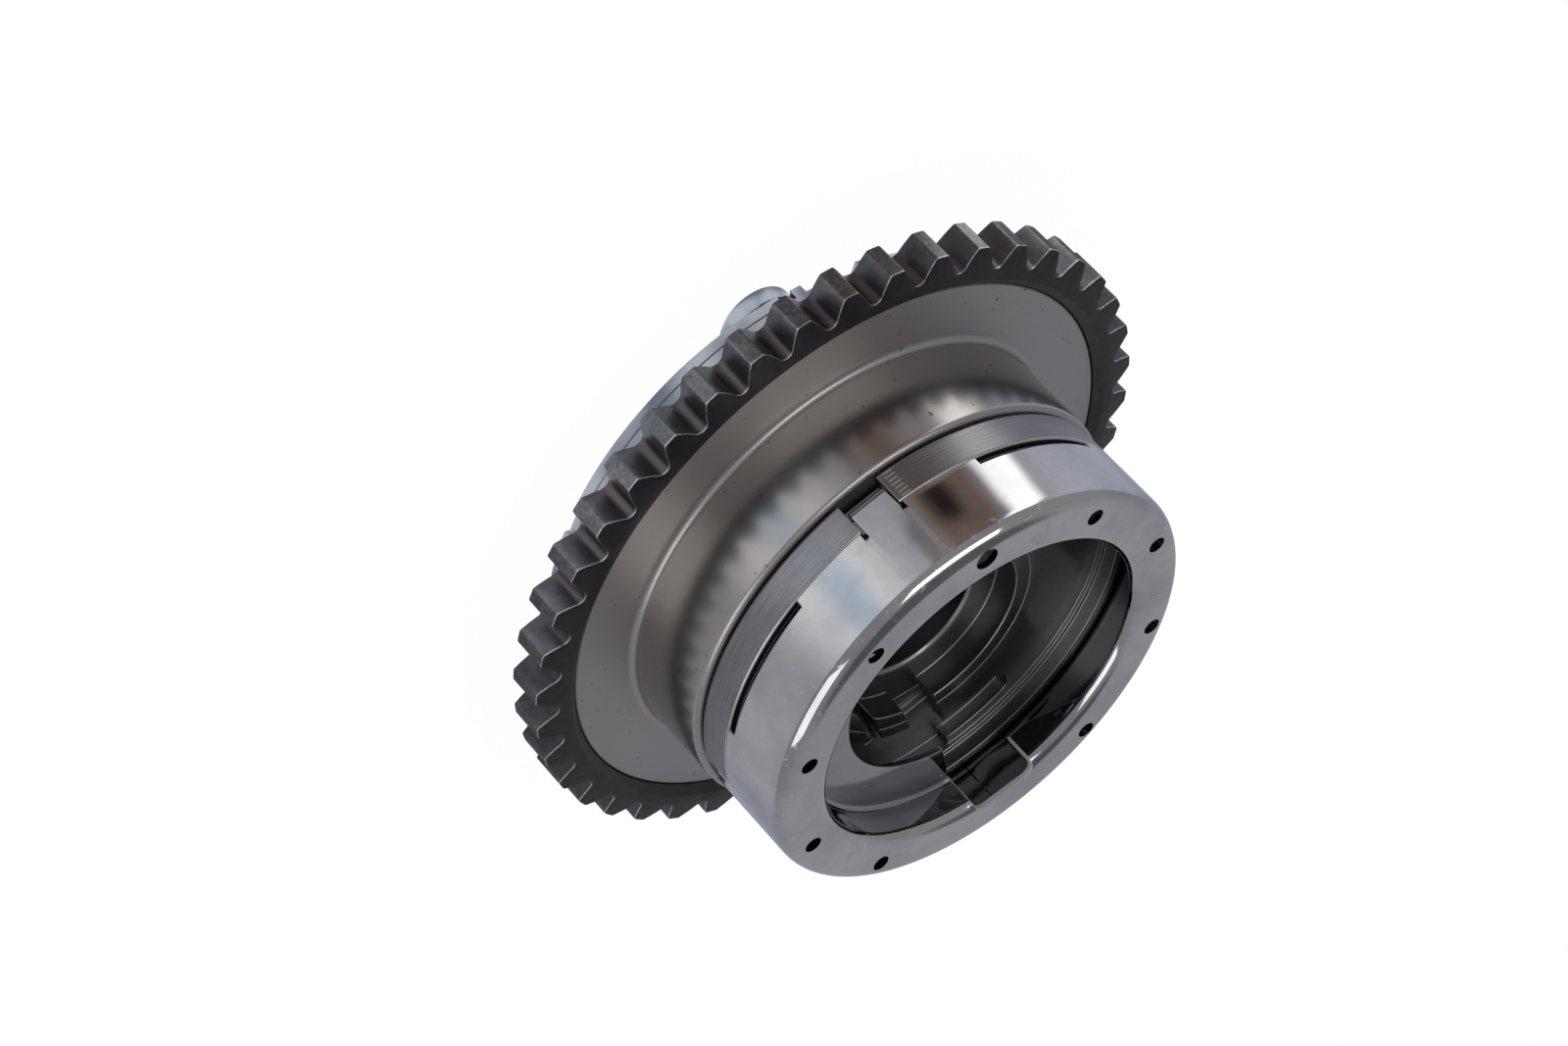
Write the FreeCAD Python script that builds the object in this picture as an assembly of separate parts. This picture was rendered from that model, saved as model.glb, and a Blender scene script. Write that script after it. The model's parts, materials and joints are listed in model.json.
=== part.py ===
import FreeCAD, Part
import math
import os

# Cam phaser. The axis is Z, the sensor cup faces up and the part stands on its four bolt heads at z = 0.
# Angles are in degrees about Z, and the four tongues of the cup lie on the X and Y axes.

Vector = FreeCAD.Vector
AXIS = Vector(0, 0, 1)
CENTRE = Vector(0, 0, 0)
FIT = 0.05            # radial or axial clearance of a running fit
OVER = 1.0            # how far a cutting solid runs past the face it cuts

# Sprocket
TEETH = 42
CHAIN_PITCH = 8.0
SEAT_RADIUS = 1.3
SEAT_DROP = 0.83      # from the pitch circle in to the centre of the seat
SEAT_HALF_ANGLE = 62.0
FLANK_RADIUS = 16.0
TOOTH_RISE = 1.38     # from the pitch circle to the tooth tip
TIP_ROUND = 0.5
TOOTH_ANGLE = 4.9
SPROCKET_WIDTH = 6.8
TIP_RELIEF = 0.8      # how far the front face falls back from the teeth's roots to their tips
RECESS_BEVEL = 1.3

# Stator and rear cover
COVER_RADIUS = 42.7
COVER_RIM = 1.9
COVER_BOSS = 4.0
STATOR_FLANGE = 6.9
STATOR_RADIUS = 36.0
CHAMBER_RADIUS = 31.0
VANES = 4
TRAVEL = 20.0
STOP_MARGIN = 0.6
VANE_ANGLE = 26.0
LOBE_PHASE = -10.5

# Cover bolts
BOLT_INSET = 0.25     # from the middle of the wall between chamber and cover edge in to a bolt's axis
BOLT_RADIUS = 3.0
BOLT_HOLE = 3.3
HEAD_RADIUS = 6.2
HEAD_HEIGHT = 3.0
HEAD_ROUND = 0.8
SOCKET_FLATS = 5.0
SOCKET_DEPTH = 1.8

# Marks on the rim of the rear cover
RIM_STEP = 2.2
RIM_STEP_START = 237.0
RIM_STEP_ANGLE = 19.0
LUG_START = 250.3
LUG_ANGLE = 2.6
LUG_RISE = 1.9
RIM_NICK = 1.0
NICK_START = 312.5
NICK_ANGLE = 8.0

# Housing shell
SHELL_SHEET = 1.5
SHELL_HEIGHT = 15.5
SHELL_FLANGE_RADIUS = 48.0
SHELL_FLANGE_SHEET = 1.6
FLANGE_SETBACK = 1.2
FOOT_FILLET = 1.2
LIP_ROUND = 1.0
FLANGE_ROUND = 0.5

# Rotor
CORE_RADIUS = 20.0
REAR_HUB_RADIUS = 17.2
HUB_CLEAR = 0.8       # height of the hub's rear face above the ground
CAM_SEAT_RADIUS = 15.0
CAM_SEAT_DEPTH = 6.0
SPIGOT_RADIUS = 18.6
BORE_RADIUS = 10.8
FRONT_RECESS_RADIUS = 16.0
FRONT_RECESS_DEPTH = 4.4
BORE_CHAMFER = 0.5
PORT_RADIUS = 1.25
PORT_OFFSET = 17.0
PORT_INSET = 4.5
DOWEL_RADIUS = 1.25
DOWEL_DEPTH = 4.0
DOWEL_ANGLE = 90.0

# Tip seals and their leaf springs
SEAL_WIDTH = 2.0
SEAL_HEIGHT = 2.6
SPRING_RISE = 1.0
LEAF_SHEET = 0.25
LEAF_INSET = 2.0
SEAL_SHIFT = 8.5      # the seal beside the locking pin stands this many degrees off the vane's middle

# Locking pin
PIN_VANE_INDEX = 2
PIN_CIRCLE = 25.0
PIN_RADIUS = 2.9
PIN_LENGTH = 12.0
PIN_BORE_RADIUS = 2.0
PIN_BORE_DEPTH = 8.0
PIN_NOSE_CHAMFER = 0.5
PIN_STAND_OFF = 0.3
PIN_HOLE_DEPTH = 19.5
BUSH_WALL = 1.4
BUSH_LENGTH = 3.6
BUSH_CLEAR = 0.08
SEAT_THICKNESS = 1.5
COIL_WIRE = 0.6
COIL_TURNS = 6

# Front carrier
CARRIER_RADIUS = 36.9
CARRIER_WIDTH = 5.7
CARRIER_GAP = 0.5
CARRIER_EDGE = 0.3
RIM_WALL = 4.0
WEB_DROP = 0.8
BOSS_RADIUS = 20.8
POCKET_INNER = 25.8
POCKET_OUTER = 31.2
POCKET_START = -4.0
POCKET_ANGLE = 17.0   # between the centres of a pocket's round ends
POCKET_DEPTH = 3.2
HOLLOW_START = 24.0
HOLLOW_ANGLE = 59.4
SLOT_WIDTH = 5.3
SLOT_OFFSET = 5.75
SLOT_ANGLE = 90.0
NARROW_SLOT_WIDTH = 1.9
NARROW_SLOT_OFFSET = 14.0

# Sensor cup
CUP_SHEET = 1.0
CUP_HEIGHT = 13.15
CUP_ROUND = 2.8
TONGUES = 4
TONGUE_WIDTH = 6.1
TONGUE_GAP = 0.35
TONGUE_DROP = 4.2     # how far a tongue reaches back from the cup's rear edge
TONGUE_BEND = 0.5
TONGUE_HOOK = 1.6
RELIEF_WIDTH = 0.8
WINDOW_ANGLE = 38.0
WINDOW_HEIGHT = 1.25
OPENING_RADIUS = 28.0
OPENING_ROUND = 1.8
HOLE_COUNT = 10
HOLE_CIRCLE = 33.0
HOLE_RADIUS = 1.4
TIMING_HOLE_RADIUS = 1.85
HOLE_PHASE = 4.7
TIMING_HOLE_INDEX = 7
NOTCH_HOLE_INDEX = 2
NOTCH_ANGLE = 84.6
NOTCH_HALF_WIDTH = 5.5
NOTCH_REACH = 29.8
NOTCH_ROUND = 2.0
LEDGE_DEPTH = 6.55    # from the cup's front face to the top of the dished ledge
LEDGE_INNER = 19.7
LEDGE_BEND = 1.0
LEDGE_START = 300.0
SKIRT_END = 121.0
SKIRT_DEPTH = 6.0

# Heights above the ground, from the bolt heads up
cover_z = HEAD_HEIGHT
stator_z = cover_z + COVER_RIM
chamber_z = stator_z + COVER_BOSS
sprocket_z = stator_z + STATOR_FLANGE
sprocket_top = sprocket_z + SPROCKET_WIDTH
flange_top = sprocket_top - FLANGE_SETBACK
flange_z = flange_top - SHELL_FLANGE_SHEET
shell_top = flange_top + SHELL_HEIGHT
chamber_top = shell_top - SHELL_SHEET
carrier_z = shell_top + CARRIER_GAP
carrier_top = carrier_z + CARRIER_WIDTH
cup_top = carrier_top + CUP_HEIGHT
recess_z = carrier_top - FRONT_RECESS_DEPTH

# Radii and angles that follow from the driving sizes
pitch_radius = CHAIN_PITCH / (2 * math.sin(math.pi / TEETH))
tip_radius = pitch_radius + TOOTH_RISE
root_radius = pitch_radius - SEAT_DROP - SEAT_RADIUS
shell_radius = STATOR_RADIUS + SHELL_SHEET
bolt_circle = (CHAMBER_RADIUS + COVER_RADIUS) / 2 - BOLT_INSET
vane_radius = CHAMBER_RADIUS - FIT
vane_pitch = 360.0 / VANES
lobe_angle = vane_pitch - VANE_ANGLE - TRAVEL - 2 * STOP_MARGIN
lobe_radius = CORE_RADIUS + FIT
first_vane = LOBE_PHASE + lobe_angle / 2 + STOP_MARGIN + VANE_ANGLE / 2
lobe_places = [LOBE_PHASE + vane_pitch * k for k in range(VANES)]
vane_places = [first_vane + vane_pitch * k for k in range(VANES)]
tongue_places = [360.0 / TONGUES * k for k in range(TONGUES)]
tongue_face = math.sqrt(CARRIER_RADIUS ** 2 - (TONGUE_WIDTH / 2) ** 2)
slot_depth = SEAL_HEIGHT + SPRING_RISE
pin_place = vane_places[PIN_VANE_INDEX]
pin_z = chamber_z + PIN_STAND_OFF
pin_hole_top = chamber_z + PIN_HOLE_DEPTH


def polar(radius, angle, z=0.0):
    turn = math.radians(angle)
    return Vector(radius * math.cos(turn), radius * math.sin(turn), z)


def turned_to(shape, angle):
    copy = shape.copy()
    copy.rotate(CENTRE, AXIS, angle)
    return copy


def cylinder(radius, low, high, place=CENTRE):
    return Part.makeCylinder(radius, high - low, Vector(place.x, place.y, low))


def ring(inner, outer, low, high):
    return cylinder(outer, low, high).cut(cylinder(inner, low - OVER, high + OVER))


def sector(inner, outer, low, high, start, width):
    wedge = Part.makeCylinder(outer, high - low, Vector(0, 0, low), AXIS, width)
    core = cylinder(inner, low - OVER, high + OVER)
    return turned_to(wedge.cut(core), start)


def bar(near, far, width, low, high, angle, offset=0.0):
    """A straight bar that points outward at an angle, from one distance to another."""
    box = Part.makeBox(far - near, width, high - low, Vector(near, offset - width / 2, low))
    return turned_to(box, angle)


def arc(start, middle, end):
    return Part.Arc(start, middle, end).toShape()


def line(start, end):
    return Part.makeLine(start, end)


def round_between(centre, radius, first, last):
    """An arc in the XZ plane about a centre, from one angle to another."""
    points = []
    for angle in (first, (first + last) / 2, last):
        turn = math.radians(angle)
        points.append(centre + Vector(radius * math.cos(turn), 0, radius * math.sin(turn)))
    return arc(*points)


def section(edges):
    return Part.Face(Part.Wire(Part.__sortEdges__(edges)))


def outline(points):
    """A face from corners given as radius and height."""
    corners = [Vector(r, 0, z) for r, z in points]
    return Part.Face(Part.makePolygon(corners + corners[:1]))


def turned(face, angle=360.0):
    return face.revolve(CENTRE, AXIS, angle)


def joined(shapes):
    return shapes[0].multiFuse(shapes[1:]).removeSplitter()


def cut_all(shape, tools):
    return shape.cut(tools).removeSplitter()


def tooth_gap_edges():
    """One tooth gap about the X axis, with its rounded tips and the land that follows it."""
    half_pitch = math.pi / TEETH
    turn = math.radians(SEAT_HALF_ANGLE)
    seat_r = pitch_radius - SEAT_DROP
    seat_end = Vector(seat_r - SEAT_RADIUS * math.cos(turn), SEAT_RADIUS * math.sin(turn), 0)
    seat_root = Vector(seat_r - SEAT_RADIUS, 0, 0)
    reach = SEAT_RADIUS + FLANK_RADIUS
    flank_centre = Vector(seat_r - reach * math.cos(turn), reach * math.sin(turn), 0)

    # The rounded tip's centre lies inside the flank's circle and inside the tip circle, by its own radius.
    flank_r = FLANK_RADIUS - TIP_ROUND
    round_r = tip_radius - TIP_ROUND
    far = flank_centre.Length
    along = (far ** 2 + round_r ** 2 - flank_r ** 2) / (2 * far)
    aside = math.sqrt(round_r ** 2 - along ** 2)
    outward = Vector(flank_centre).normalize()
    across = Vector(outward.y, -outward.x, 0)
    centre = outward * along + across * aside
    to_flank = (centre - flank_centre).normalize()
    to_land = Vector(centre).normalize()
    flank_end = flank_centre + to_flank * FLANK_RADIUS
    land_start = to_land * tip_radius
    round_middle = centre + (to_flank + to_land).normalize() * TIP_ROUND
    chord = (seat_end + flank_end) * 0.5
    flank_middle = flank_centre + (chord - flank_centre).normalize() * FLANK_RADIUS

    def mirrored(point):
        return Vector(point.x, -point.y, point.z)

    land_angle = math.atan2(land_start.y, land_start.x)
    next_land = polar(tip_radius, math.degrees(2 * half_pitch - land_angle))
    land_middle = polar(tip_radius, math.degrees(half_pitch))
    return [
        arc(mirrored(seat_end), seat_root, seat_end),
        arc(mirrored(flank_end), mirrored(flank_middle), mirrored(seat_end)),
        arc(seat_end, flank_middle, flank_end),
        arc(mirrored(land_start), mirrored(round_middle), mirrored(flank_end)),
        arc(flank_end, round_middle, land_start),
        arc(land_start, land_middle, next_land),
    ]


def make_sprocket():
    pitch = 360.0 / TEETH
    gap = tooth_gap_edges()
    edges = []
    for k in range(TEETH):
        place = TOOTH_ANGLE + pitch * (k + 0.5)
        for edge in gap:
            edges.append(turned_to(edge, place))
    blank = section(edges).extrude(Vector(0, 0, SPROCKET_WIDTH))
    blank.translate(Vector(0, 0, sprocket_z))
    seat = SHELL_FLANGE_RADIUS
    hollow = turned(outline([
        (0, sprocket_z - OVER), (STATOR_RADIUS, sprocket_z - OVER), (STATOR_RADIUS, flange_z),
        (seat, flange_z), (seat, flange_top), (seat + RECESS_BEVEL, sprocket_top),
        (seat + RECESS_BEVEL, sprocket_top + OVER), (0, sprocket_top + OVER)]))
    past = tip_radius + OVER
    fall = TIP_RELIEF * (past - root_radius) / (tip_radius - root_radius)
    relief = turned(outline([
        (root_radius, sprocket_top), (past, sprocket_top - fall), (past, sprocket_top + OVER),
        (root_radius, sprocket_top + OVER)]))
    return blank.cut([hollow, relief])


def make_housing_shell():
    foot_z = flange_top + FOOT_FILLET
    foot_r = shell_radius + FOOT_FILLET
    lip_z = shell_top - LIP_ROUND
    lip_r = shell_radius - LIP_ROUND
    edge_z = flange_top - FLANGE_ROUND
    edge_r = SHELL_FLANGE_RADIUS - FLANGE_ROUND
    bore = SPIGOT_RADIUS + FIT
    edges = [
        line(Vector(STATOR_RADIUS, 0, flange_z), Vector(SHELL_FLANGE_RADIUS, 0, flange_z)),
        line(Vector(SHELL_FLANGE_RADIUS, 0, flange_z), Vector(SHELL_FLANGE_RADIUS, 0, edge_z)),
        round_between(Vector(edge_r, 0, edge_z), FLANGE_ROUND, 0, 90),
        line(Vector(edge_r, 0, flange_top), Vector(foot_r, 0, flange_top)),
        round_between(Vector(foot_r, 0, foot_z), FOOT_FILLET, 270, 180),
        line(Vector(shell_radius, 0, foot_z), Vector(shell_radius, 0, lip_z)),
        round_between(Vector(lip_r, 0, lip_z), LIP_ROUND, 0, 90),
        line(Vector(lip_r, 0, shell_top), Vector(bore, 0, shell_top)),
        line(Vector(bore, 0, shell_top), Vector(bore, 0, chamber_top)),
        line(Vector(bore, 0, chamber_top), Vector(STATOR_RADIUS, 0, chamber_top)),
        line(Vector(STATOR_RADIUS, 0, chamber_top), Vector(STATOR_RADIUS, 0, flange_z)),
    ]
    return turned(section(edges))


def make_stator():
    body = [
        ring(CHAMBER_RADIUS, COVER_RADIUS, stator_z, sprocket_z),
        ring(CHAMBER_RADIUS, STATOR_RADIUS, stator_z, chamber_top),
    ]
    root = CHAMBER_RADIUS + OVER
    for place in lobe_places:
        body.append(sector(lobe_radius, root, chamber_z, chamber_top, place - lobe_angle / 2, lobe_angle))
    cuts = []
    for place in lobe_places:
        seal_top = lobe_radius + slot_depth
        cuts.append(bar(lobe_radius - OVER, seal_top, SEAL_WIDTH, chamber_z - OVER, chamber_top + OVER, place))
        hole = polar(bolt_circle, place)
        cuts.append(cylinder(BOLT_RADIUS, stator_z - OVER, sprocket_z + OVER, hole))
    return cut_all(joined(body), cuts)


def make_rear_cover():
    bore = REAR_HUB_RADIUS + FIT
    disc = turned(outline([
        (bore, cover_z), (COVER_RADIUS, cover_z), (COVER_RADIUS, stator_z),
        (CHAMBER_RADIUS, stator_z), (CHAMBER_RADIUS, chamber_z), (bore, chamber_z)]))
    low, high = cover_z - OVER, stator_z + OVER
    past_rim = COVER_RADIUS + OVER
    cuts = [
        sector(COVER_RADIUS - RIM_STEP, past_rim, low, high, RIM_STEP_START, LUG_START - RIM_STEP_START),
        sector(COVER_RADIUS - RIM_NICK, past_rim, low, high, NICK_START, NICK_ANGLE),
    ]
    lug_end = LUG_START + LUG_ANGLE
    step_end = RIM_STEP_START + RIM_STEP_ANGLE
    cuts.append(sector(COVER_RADIUS - RIM_STEP, past_rim, low, high, lug_end, step_end - lug_end))
    for place in lobe_places:
        cuts.append(cylinder(BOLT_HOLE, low, high, polar(bolt_circle, place)))
    pin = polar(PIN_CIRCLE, pin_place)
    bush_radius = PIN_RADIUS + BUSH_CLEAR + BUSH_WALL
    cuts.append(cylinder(bush_radius, chamber_z - BUSH_LENGTH, chamber_z + OVER, pin))
    cuts.append(cylinder(PORT_RADIUS, cover_z - OVER, chamber_z, pin))
    lug_top = COVER_RADIUS - RIM_STEP + LUG_RISE
    cuts.append(sector(lug_top, past_rim, low, high, LUG_START, LUG_ANGLE))
    return disc.cut(cuts)


def make_cover_bolts():
    shank_top = sprocket_z - FIT
    flat_radius = SOCKET_FLATS / math.sqrt(3)
    corners = [polar(flat_radius, 60 * k, -OVER) for k in range(7)]
    socket = Part.Face(Part.makePolygon(corners)).extrude(Vector(0, 0, SOCKET_DEPTH + OVER))
    round_z = HEAD_ROUND
    round_r = HEAD_RADIUS - HEAD_ROUND
    profile = [
        line(Vector(0, 0, 0), Vector(round_r, 0, 0)),
        round_between(Vector(round_r, 0, round_z), HEAD_ROUND, 270, 360),
        line(Vector(HEAD_RADIUS, 0, round_z), Vector(HEAD_RADIUS, 0, HEAD_HEIGHT)),
        line(Vector(HEAD_RADIUS, 0, HEAD_HEIGHT), Vector(BOLT_RADIUS, 0, HEAD_HEIGHT)),
        line(Vector(BOLT_RADIUS, 0, HEAD_HEIGHT), Vector(BOLT_RADIUS, 0, shank_top)),
        line(Vector(BOLT_RADIUS, 0, shank_top), Vector(0, 0, shank_top)),
        line(Vector(0, 0, shank_top), Vector(0, 0, 0)),
    ]
    bolt = turned(section(profile)).cut(socket)
    bolts = []
    for place in lobe_places:
        copy = bolt.copy()
        copy.translate(polar(bolt_circle, place))
        bolts.append(copy)
    return Part.makeCompound(bolts)


def make_lock_bush():
    pin = polar(PIN_CIRCLE, pin_place)
    inner = PIN_RADIUS + BUSH_CLEAR
    low = chamber_z - BUSH_LENGTH
    outside = cylinder(inner + BUSH_WALL, low, chamber_z, pin)
    return outside.cut(cylinder(inner, low - OVER, chamber_z + OVER, pin))


def vane_seal_angle(index):
    place = vane_places[index]
    if index == PIN_VANE_INDEX:
        place += SEAL_SHIFT
    return place


def make_rotor():
    low = chamber_z + FIT
    high = chamber_top - FIT
    body = [
        cylinder(CORE_RADIUS, low, high),
        cylinder(REAR_HUB_RADIUS, HUB_CLEAR, low + OVER),
        cylinder(SPIGOT_RADIUS, high - OVER, carrier_top),
    ]
    for place in vane_places:
        body.append(sector(CORE_RADIUS - OVER, vane_radius, low, high, place - VANE_ANGLE / 2, VANE_ANGLE))
    seat_top = HUB_CLEAR + CAM_SEAT_DEPTH
    cuts = [turned(outline([
        (0, HUB_CLEAR - OVER), (CAM_SEAT_RADIUS, HUB_CLEAR - OVER), (CAM_SEAT_RADIUS, seat_top),
        (BORE_RADIUS, seat_top), (BORE_RADIUS, recess_z - BORE_CHAMFER),
        (BORE_RADIUS + BORE_CHAMFER, recess_z), (FRONT_RECESS_RADIUS, recess_z),
        (FRONT_RECESS_RADIUS, carrier_top + OVER), (0, carrier_top + OVER)]))]
    for index, place in enumerate(vane_places):
        bottom = vane_radius - slot_depth
        cuts.append(bar(bottom, vane_radius + OVER, SEAL_WIDTH, low - OVER, high + OVER, vane_seal_angle(index)))
        for side, z in ((-1, low + PORT_INSET), (1, high - PORT_INSET)):
            angle = place + side * PORT_OFFSET
            start = polar(BORE_RADIUS - OVER, angle, z)
            length = CORE_RADIUS - BORE_RADIUS + 2 * OVER
            cuts.append(Part.makeCylinder(PORT_RADIUS, length, start, polar(1, angle)))
    cuts.append(cylinder(PIN_RADIUS + FIT, low - OVER, pin_hole_top, polar(PIN_CIRCLE, pin_place)))
    dowel = polar((CAM_SEAT_RADIUS + BORE_RADIUS) / 2, DOWEL_ANGLE)
    cuts.append(cylinder(DOWEL_RADIUS, seat_top - OVER, seat_top + DOWEL_DEPTH, dowel))
    cuts.extend(front_slots())
    return cut_all(joined(body), cuts)


def front_slots():
    """Two straight slots beside the bore, from the rotor's recess out through the carrier's raised boss."""
    slots = []
    for width, offset in ((SLOT_WIDTH, SLOT_OFFSET), (NARROW_SLOT_WIDTH, NARROW_SLOT_OFFSET)):
        slots.append(bar(0, BOSS_RADIUS, width, recess_z, carrier_top + OVER, SLOT_ANGLE, -offset))
    return slots


def make_seal(inner, outer, angle):
    return bar(inner, outer, SEAL_WIDTH - FIT, chamber_z + 2 * FIT, chamber_top - 2 * FIT, angle)


def make_leaf(floor, crown, angle):
    """A bowed leaf spring that rests on its ends at one radius and bears at its middle on the other."""
    low = chamber_z + LEAF_INSET
    high = chamber_top - LEAF_INSET
    middle = (low + high) / 2
    sheet = LEAF_SHEET if crown > floor else -LEAF_SHEET
    half = (SEAL_WIDTH - 4 * FIT) / 2
    ends = [Vector(floor, -half, low), Vector(floor, -half, high)]
    back = [Vector(floor + sheet, -half, low), Vector(floor + sheet, -half, high)]
    edges = [
        arc(ends[0], Vector(crown - sheet, -half, middle), ends[1]),
        line(ends[1], back[1]),
        arc(back[1], Vector(crown, -half, middle), back[0]),
        line(back[0], ends[0]),
    ]
    return turned_to(section(edges).extrude(Vector(0, 2 * half, 0)), angle)


def make_lock_pin():
    chamfer = PIN_NOSE_CHAMFER
    top = pin_z + PIN_LENGTH
    floor = top - PIN_BORE_DEPTH
    pin = turned(outline([
        (0, pin_z), (PIN_RADIUS - chamfer, pin_z), (PIN_RADIUS, pin_z + chamfer), (PIN_RADIUS, top),
        (PIN_BORE_RADIUS, top), (PIN_BORE_RADIUS, floor), (0, floor)]))
    pin.translate(polar(PIN_CIRCLE, pin_place))
    return pin


def make_spring_seat():
    return cylinder(PIN_RADIUS + FIT, pin_hole_top - SEAT_THICKNESS, pin_hole_top, polar(PIN_CIRCLE, pin_place))


def make_lock_spring():
    coil = PIN_BORE_RADIUS - COIL_WIRE / 2 - FIT
    low = pin_z + PIN_LENGTH - PIN_BORE_DEPTH + COIL_WIRE / 2 + FIT
    high = pin_hole_top - SEAT_THICKNESS - COIL_WIRE / 2 - FIT
    helix = Part.makeHelix((high - low) / COIL_TURNS, high - low, coil)
    wire = Part.Wire(Part.makeCircle(COIL_WIRE / 2, Vector(coil, 0, 0), Vector(0, 1, 0)))
    spring = Part.Wire(helix.Edges).makePipeShell([wire], True, True)
    spring.translate(polar(PIN_CIRCLE, pin_place, low))
    return spring


def make_front_carrier():
    edge = CARRIER_EDGE
    rim = CARRIER_RADIUS - RIM_WALL
    web_z = carrier_top - WEB_DROP
    disc = turned(outline([
        (SPIGOT_RADIUS, carrier_z), (CARRIER_RADIUS - edge, carrier_z), (CARRIER_RADIUS, carrier_z + edge),
        (CARRIER_RADIUS, carrier_top - edge), (CARRIER_RADIUS - edge, carrier_top), (rim, carrier_top),
        (rim, web_z), (BOSS_RADIUS, web_z), (BOSS_RADIUS, carrier_top), (SPIGOT_RADIUS, carrier_top)]))
    hook_top = carrier_top - TONGUE_DROP + CUP_SHEET
    floor = tongue_face - CUP_SHEET
    gap = TONGUE_WIDTH + 2 * TONGUE_GAP
    far = CARRIER_RADIUS + OVER
    low, high = carrier_top - POCKET_DEPTH, carrier_top + OVER
    end_radius = (POCKET_OUTER - POCKET_INNER) / 2
    end_circle = (POCKET_OUTER + POCKET_INNER) / 2
    cuts = front_slots()
    cuts.append(sector(BOSS_RADIUS, rim, low, high, HOLLOW_START, HOLLOW_ANGLE))
    for place in tongue_places:
        cuts.append(bar(floor, far, gap, carrier_z - OVER, carrier_top + OVER, place))
        cuts.append(bar(floor - TONGUE_HOOK - TONGUE_GAP, far, gap, carrier_z - OVER, hook_top, place))
        cuts.append(bar(floor - TONGUE_BEND, far, gap, carrier_z - OVER, hook_top + TONGUE_BEND, place))
        start = place + POCKET_START
        cuts.append(sector(POCKET_INNER, POCKET_OUTER, low, high, start, POCKET_ANGLE))
        for end in (start, start + POCKET_ANGLE):
            cuts.append(cylinder(end_radius, low, high, polar(end_circle, end)))
    return cut_all(disc, cuts)


def cup_shell_section():
    """Half section of the pressed cup: side wall, front rounding, front face and the turned-in lip."""
    outer = CARRIER_RADIUS
    inner = CARRIER_RADIUS - CUP_SHEET
    side_z = cup_top - CUP_ROUND
    side_r = CARRIER_RADIUS - CUP_ROUND
    lip_z = cup_top - OPENING_ROUND
    lip_r = OPENING_RADIUS + OPENING_ROUND
    back = OPENING_RADIUS + CUP_SHEET
    under = cup_top - CUP_SHEET
    return section([
        line(Vector(outer, 0, carrier_top), Vector(outer, 0, side_z)),
        round_between(Vector(side_r, 0, side_z), CUP_ROUND, 0, 90),
        line(Vector(side_r, 0, cup_top), Vector(lip_r, 0, cup_top)),
        round_between(Vector(lip_r, 0, lip_z), OPENING_ROUND, 90, 180),
        line(Vector(OPENING_RADIUS, 0, lip_z), Vector(back, 0, lip_z)),
        round_between(Vector(lip_r, 0, lip_z), OPENING_ROUND - CUP_SHEET, 180, 90),
        line(Vector(lip_r, 0, under), Vector(side_r, 0, under)),
        round_between(Vector(side_r, 0, side_z), CUP_ROUND - CUP_SHEET, 90, 0),
        line(Vector(inner, 0, side_z), Vector(inner, 0, carrier_top)),
        line(Vector(inner, 0, carrier_top), Vector(outer, 0, carrier_top)),
    ])


def ledge_section():
    """Half section of the dished ledge: a wall down from the lip, a bend and a flat shelf."""
    shelf = cup_top - LEDGE_DEPTH
    bend_z = shelf + LEDGE_BEND
    bend_r = OPENING_RADIUS - LEDGE_BEND
    back = OPENING_RADIUS + CUP_SHEET
    top = cup_top - OPENING_ROUND
    under = shelf - CUP_SHEET
    return section([
        line(Vector(OPENING_RADIUS, 0, top), Vector(OPENING_RADIUS, 0, bend_z)),
        round_between(Vector(bend_r, 0, bend_z), LEDGE_BEND, 360, 270),
        line(Vector(bend_r, 0, shelf), Vector(LEDGE_INNER, 0, shelf)),
        line(Vector(LEDGE_INNER, 0, shelf), Vector(LEDGE_INNER, 0, under)),
        line(Vector(LEDGE_INNER, 0, under), Vector(bend_r, 0, under)),
        round_between(Vector(bend_r, 0, bend_z), LEDGE_BEND + CUP_SHEET, 270, 360),
        line(Vector(back, 0, bend_z), Vector(back, 0, top)),
        line(Vector(back, 0, top), Vector(OPENING_RADIUS, 0, top)),
    ])


def make_tongue():
    """A flat tongue that hooks inward at its end, with the flat strip above it on the cup's wall."""
    low = carrier_top - TONGUE_DROP
    bend = TONGUE_BEND + CUP_SHEET
    bend_r = tongue_face - bend
    bend_z = low + bend
    inner = tongue_face - CUP_SHEET
    tip = inner - TONGUE_HOOK
    top = cup_top - CUP_ROUND
    half = TONGUE_WIDTH / 2
    face = section([
        line(Vector(tongue_face, 0, top), Vector(tongue_face, 0, bend_z)),
        round_between(Vector(bend_r, 0, bend_z), bend, 360, 270),
        line(Vector(bend_r, 0, low), Vector(tip, 0, low)),
        line(Vector(tip, 0, low), Vector(tip, 0, low + CUP_SHEET)),
        line(Vector(tip, 0, low + CUP_SHEET), Vector(bend_r, 0, low + CUP_SHEET)),
        round_between(Vector(bend_r, 0, bend_z), TONGUE_BEND, 270, 360),
        line(Vector(inner, 0, bend_z), Vector(inner, 0, top)),
        line(Vector(inner, 0, top), Vector(tongue_face, 0, top)),
    ])
    face.translate(Vector(0, -half, 0))
    return face.extrude(Vector(0, 2 * half, 0))


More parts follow.
